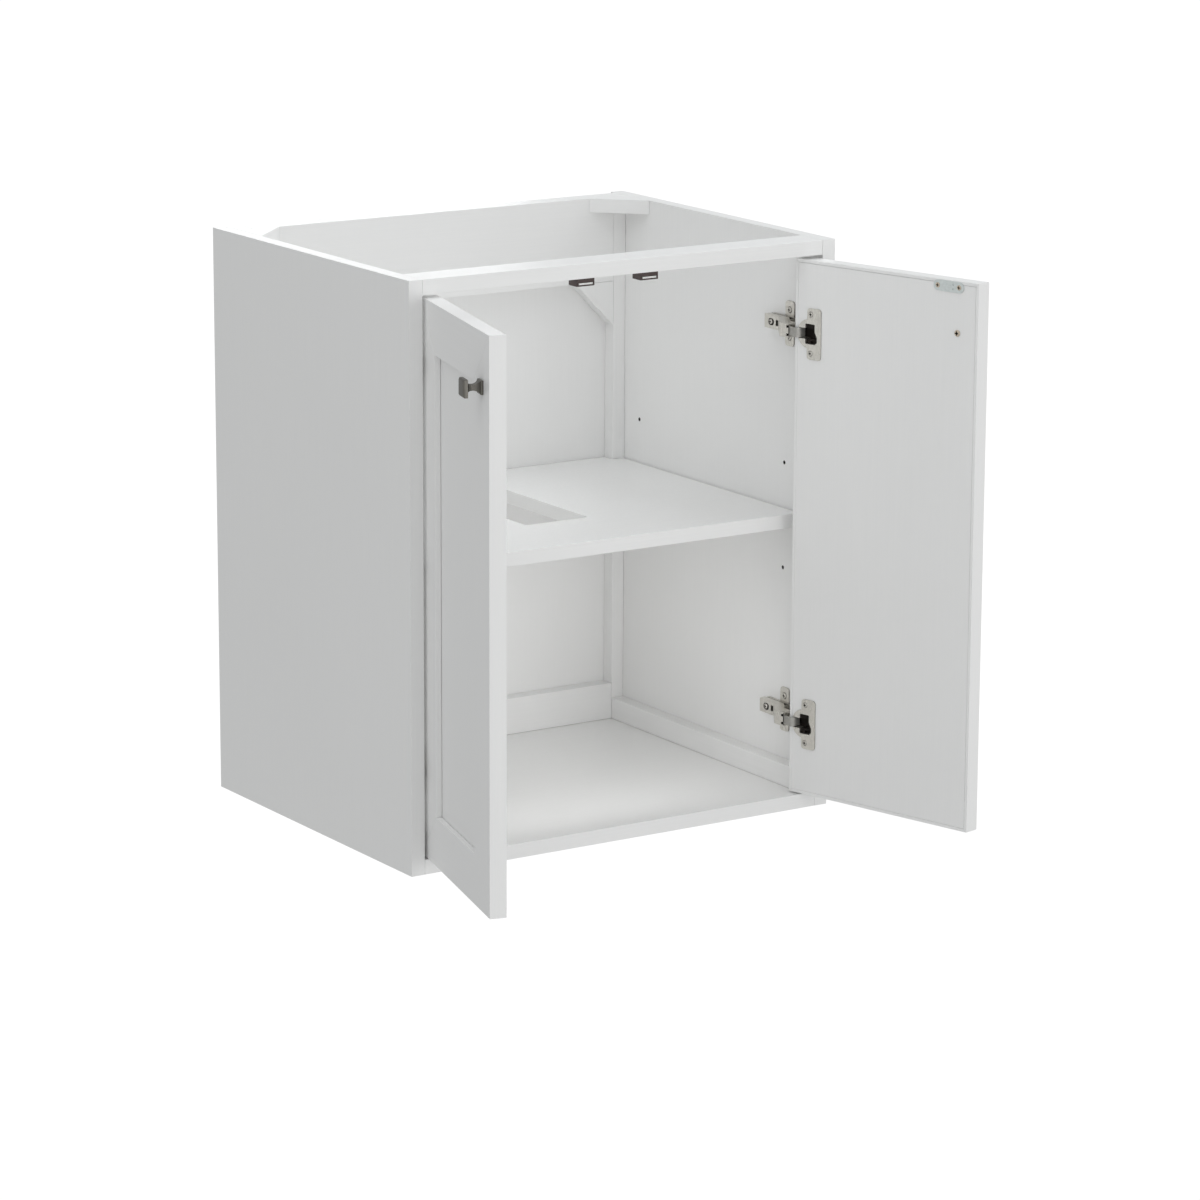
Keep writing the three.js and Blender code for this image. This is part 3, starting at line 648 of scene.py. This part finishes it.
def mounting_plate_template():
    """A wing plate with a pressed shoulder, a foot and the block that the arm straddles."""
    wing = prism(rounded(PLATE_WING, 4.5), "u", SEAT_GAP, 2)
    foot = prism(rounded(PLATE_FOOT, 2), "u", SEAT_GAP, 4)
    block = prism(rounded(PLATE_BLOCK, 1.5), "u", 1, 10.2)
    pocket = prism(PLATE_POCKET, "u", PLATE_POCKET_FLOOR, 12)
    whole = combined("UNION", wing, foot, block)
    seats = [
        turned([(3.7, PLATE_SCREW["u"]), (4.7, 2.1)], "u", (PLATE_SCREW["v"], sign * PLATE_SCREW["w"]), 32)
        for sign in (-1, 1)
    ]
    bm = soften(combined("DIFFERENCE", whole, pocket, *seats), 0.35)
    # Painted shade: the pocket's walls and floor take the dark recess finish.
    darken(bm, *PLATE_POCKET_SHADE_BOX)
    return bm


def add_hinges():
    templates = {
        "cup": cup_template(), "cup_works": cup_works_template(), "link": link_template(),
        "arm": arm_template(), "pivot_pin": pin_template(), "mounting_plate": mounting_plate_template(),
    }
    cup_screw, plate_screw, arm_screw = (
        screw_head(screw["radius"], screw["height"]) for screw in (CUP_SCREW, PLATE_SCREW, ARM_SCREW)
    )
    for side in SIDES:
        for level, height in HINGE_HEIGHTS.items():
            name = f"{side}_{level}_hinge_"
            carcass, door = cabinet_space(side, height), door_space(side, height)
            for part in ("arm", "pivot_pin", "mounting_plate"):
                piece(
                    f"{name}{part}_formed", templates[part], carcass, "nickel", "nickel", "carcass",
                    name + part,
                )
            piece(
                name + "link_formed", templates["link"], carcass, "link", "nickel", f"{side}_hinge_links",
                name + "link",
            )
            body = f"{side}_door"
            piece(name + "cup_formed", templates["cup"], door, "nickel", "nickel", body, name + "cup")
            piece(name + "cup_works", templates["cup_works"], door, "works", "brown_plastic", body)
            for place, sign in (("low", -1), ("high", 1)):
                seat = Matrix.Translation((CUP_SCREW["u"], CUP_SCREW["seat"], sign * CUP_SCREW["w"]))
                piece(
                    f"{name}cup_screw_{place}", cup_screw, door @ seat @ FACING_V, "nickel", "nickel", body,
                )
                seat = Matrix.Translation((PLATE_SCREW["u"], PLATE_SCREW["v"], sign * PLATE_SCREW["w"]))
                piece(
                    f"{name}plate_screw_{place}", plate_screw, carcass @ seat @ FACING_U, "nickel",
                    "nickel", "carcass",
                )
            seat = Matrix.Translation((ARM_SCREW["u"], ARM_SCREW["v"], 0))
            piece(name + "arm_screw", arm_screw, carcass @ seat @ FACING_U, "nickel", "nickel", "carcass")


# ---------------------------------------------------------------- knobs and strike plates

KNOB_PLACE = {"u": DOOR_FREE_EDGE - 30, "height": 626}
KNOB_SECTIONS = [  # half the square's side, its corner radius, and the distance in front of the door
    (8.0, 0.9, 0.2), (8.2, 0.9, 0.5), (8.2, 0.9, 2.2), (7.9, 0.9, 2.7), (6.5, 0.9, 3.6), (5.2, 0.9, 5.0),
    (4.3, 0.9, 6.8), (3.7, 0.9, 8.8), (3.45, 0.9, 10.8), (3.6, 0.9, 13), (4.1, 0.9, 15), (4.9, 0.9, 16.6),
    (6.0, 0.9, 17.7), (9.8, 0.7, 18.2), (10.4, 0.7, 18.6), (10.4, 0.7, 22.2), (10.1, 0.7, 22.6),
    (8.8, 0.7, 23.6), (8.5, 0.7, 23.8), (8.1, 0.7, 23.9),
]
KNOB_SCREW = {"radius": 4.0, "height": 2.0, "shank": 2.0, "shank_length": 27}
STRIKE_PLACE = {"u": DOOR_FREE_EDGE - 44, "height": 680.5}
STRIKE_BACK, STRIKE_FRONT = DOOR_FACE + SEAT_GAP, DOOR_FACE + 1.2
STRIKE_END = 6.5  # radius of its round ends
STRIKE_SCREWS = {"inner": -16, "outer": 15.8}
STRIKE_SCREW = {"radius": 3.1, "height": 0.9}
STRIKE_DIMPLES = {"u": 7, "w": 2.7, "depth": 0.7}


def knob_template():
    rings = []
    for half, corner, ahead in KNOB_SECTIONS:
        square = rounded(rectangle(-half, half, -half, half), corner, steps=3)
        rings.append([(a, -ahead, b) for a, b in square])
    return stacked(rings)


def strike_template():
    """A pill-shaped plate with two small dimples near one of its screws."""
    outline = rounded(rectangle(-22.5, 22.5, -STRIKE_END, STRIKE_END), STRIKE_END, steps=8)
    plate = prism(outline, "v", STRIKE_BACK, STRIKE_FRONT)
    dimple = [(1.1, STRIKE_FRONT - STRIKE_DIMPLES["depth"]), (1.25, STRIKE_FRONT + 1)]
    dimples = [
        turned(dimple, "v", (STRIKE_DIMPLES["u"], sign * STRIKE_DIMPLES["w"]), 16) for sign in (-1, 1)
    ]
    return soften(combined("DIFFERENCE", plate, *dimples), 0.25)


def add_door_fittings():
    knob, strike = knob_template(), strike_template()
    knob_screw, strike_screw = screw_head(**KNOB_SCREW), screw_head(**STRIKE_SCREW)
    for side in SIDES:
        name, body = f"{side}_door_", f"{side}_door"
        at_knob = door_space(side, KNOB_PLACE["height"], KNOB_PLACE["u"])
        piece(name + "knob_formed", knob, at_knob, "knob", "dark_nickel", body, name + "knob")
        seat = Matrix.Translation((0, DOOR_FACE + SEAT_GAP, 0)) @ FACING_V
        piece(
            name + "knob_screw_formed", knob_screw, at_knob @ seat, "knob_screw", "zinc", body,
            name + "knob_screw",
        )
        at_strike = door_space(side, STRIKE_PLACE["height"], STRIKE_PLACE["u"])
        piece(
            name + "strike_plate_formed", strike, at_strike, "strike", "zinc", body, name + "strike_plate",
        )
        for place, u in STRIKE_SCREWS.items():
            seat = Matrix.Translation((u, STRIKE_FRONT, 0)) @ FACING_V
            piece(
                f"{name}strike_screw_{place}", strike_screw, at_strike @ seat, "knob_screw", "zinc", body,
            )


# ---------------------------------------------------------------- catches, shelf supports and sleeves

CATCH_SIZE = {"half": 12.5, "depth": 20, "height": 13}
CATCH_MOUTH = {"half": 10.3, "depth": 15.3, "low": 1.9, "high": 4.1}
CATCH_SCREW = {"v": 17.4, "radius": 2.6, "height": 1.0}
MAGNET_POLES = (2.0, 3.2)  # underside of each pole plate, from the underside of the housing
POLE_SHEET = 0.8


def catch_template():
    """From the middle of the housing's underside, front edge at v = 0."""
    half, mouth_half = CATCH_SIZE["half"], CATCH_MOUTH["half"]
    outline = rounded(rectangle(-half, half, 0, CATCH_SIZE["depth"]), [0.8, 0.8, 3, 3])
    shell = prism(outline, "w", 0, CATCH_SIZE["height"])
    opening = rectangle(-mouth_half, mouth_half, -2, CATCH_MOUTH["depth"])
    mouth = prism(opening, "w", CATCH_MOUTH["low"], CATCH_MOUTH["high"])
    return soften(combined("DIFFERENCE", shell, mouth), 0.35)


def magnet_template():
    """Two steel poles with the magnet set back between them."""
    outline = rounded(rectangle(-10, 10, -0.4, 15), 1)
    poles = [prism(outline, "w", low, low + POLE_SHEET) for low in MAGNET_POLES]
    core = prism(rounded(rectangle(-9.6, 9.6, -0.2, 14.6), 0.8), "w", 2.4, 3.6)
    return soften(combined("UNION", core, *poles), 0.15)


def add_catches():
    housing, magnet = catch_template(), magnet_template()
    screw = screw_head(CATCH_SCREW["radius"], CATCH_SCREW["height"])
    for side in SIDES:
        low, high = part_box(f"catch_housing_{side}")
        space = Matrix.Translation(((low.x + high.x) / 2, low.y, low.z)) @ Matrix.Scale(MM, 4)
        piece(
            f"catch_housing_{side}_formed", housing, space, "plastic", "brown_plastic", "carcass",
            f"catch_housing_{side}",
        )
        piece(
            f"catch_magnet_{side}_formed", magnet, space, "zinc", "zinc", "carcass", f"catch_magnet_{side}",
        )
        seat = Matrix.Translation((0, CATCH_SCREW["v"], 0)) @ FACING_DOWN
        piece(f"catch_screw_{side}", screw, space @ seat, "zinc", "zinc", "carcass")


SUPPORT_COLUMNS = {"front": 75, "back": 400}
SHELF_ROW = 356
FREE_ROWS = {"low": 289.5, "high": 422.5}
SHELF_UNDERSIDE = 348
SUPPORT_TOP = 5  # above its hole
SUPPORT_REACH = 12.2  # out of the panel
SUPPORT_SHEET = 1.2
SUPPORT_HALF = 5
PEG_PROFILE = [(1.6, -8.7), (2.4, -7.8), (2.4, 1.0)]  # radius, and the distance out of the panel
SLEEVE_PROFILE = [(2.55, -8.8), (2.55, -0.1), (2.45, 0.05)]
SLEEVE_BORE = [(1.9, -8), (1.9, -0.4), (2.2, 2)]


def support_template():
    """An angle of bent sheet with a peg, written at the height of its hole."""
    foot = SHELF_UNDERSIDE - SHELF_ROW
    wall = SEAT_GAP
    outline = [
        (wall, SUPPORT_TOP), (wall, foot - SUPPORT_SHEET), (SUPPORT_REACH, foot - SUPPORT_SHEET),
        (SUPPORT_REACH, foot), (wall + SUPPORT_SHEET, foot), (wall + SUPPORT_SHEET, SUPPORT_TOP),
    ]
    bracket = prism(rounded(outline, [0.3, 1.6, 0.3, 0.3, 0.5, 0.3]), "v", -SUPPORT_HALF, SUPPORT_HALF)
    peg = turned(PEG_PROFILE, "u", (0, 0), 28)
    return soften(combined("UNION", bracket, peg), 0.2)


def sleeve_template():
    """A thin steel sleeve pressed into a hole for a shelf support."""
    tube = turned(SLEEVE_PROFILE, "u", (0, 0), 28)
    bore = turned(SLEEVE_BORE, "u", (0, 0), 28)
    return combined("DIFFERENCE", tube, bore)


def add_shelf_fittings():
    support, sleeve = support_template(), sleeve_template()
    for side in SIDES:
        for column, depth in SUPPORT_COLUMNS.items():
            name = f"shelf_support_{side}_{column}"
            space = cabinet_space(side, SHELF_ROW, v=depth)
            piece(name + "_formed", support, space, "zinc", "zinc", "carcass", name)
            for place, row in FREE_ROWS.items():
                space = cabinet_space(side, row, v=depth)
                piece(f"sleeve_{side}_{column}_{place}", sleeve, space, "sleeve", "zinc", "carcass")


# ---------------------------------------------------------------- boards

CARCASS_EDGE = 0.4 * MM
DOOR_EDGE = 0.45 * MM
THIN = 0.03  # metres; a lying board is thinner than this


def finish_board(node, name):
    """One skin without split corners, its long edges eased, lacquered along its length."""
    low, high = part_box(name)
    size = high - low
    if size.z < THIN and min(size.x, size.y) > 10 * THIN:
        finish = lacquers[ACROSS]
    else:
        finish = lacquers[UPRIGHT if size.z == max(size) else LEVEL]
    node.data.materials.clear()
    node.data.materials.append(finish)
    node.modifiers.new("weld", "WELD").merge_threshold = 0.01 * MM
    flats = node.modifiers.new("flats", "DECIMATE")
    flats.decimate_type = "DISSOLVE"
    flats.angle_limit = math.radians(1)
    edges = node.modifiers.new("edges", "BEVEL")
    edges.width = DOOR_EDGE if "door" in name else CARCASS_EDGE
    edges.segments = 3
    edges.limit_method = "ANGLE"
    edges.angle_limit = math.radians(40)
    node.modifiers.new("normals", "WEIGHTED_NORMAL").keep_sharp = True


add_hinges()
add_door_fittings()
add_catches()
add_shelf_fittings()
for node_name, node_slot in RECORD_SLOTS.items():
    if node_slot == "white_lacquer":
        finish_board(frame["nodes"][node_name], node_name)
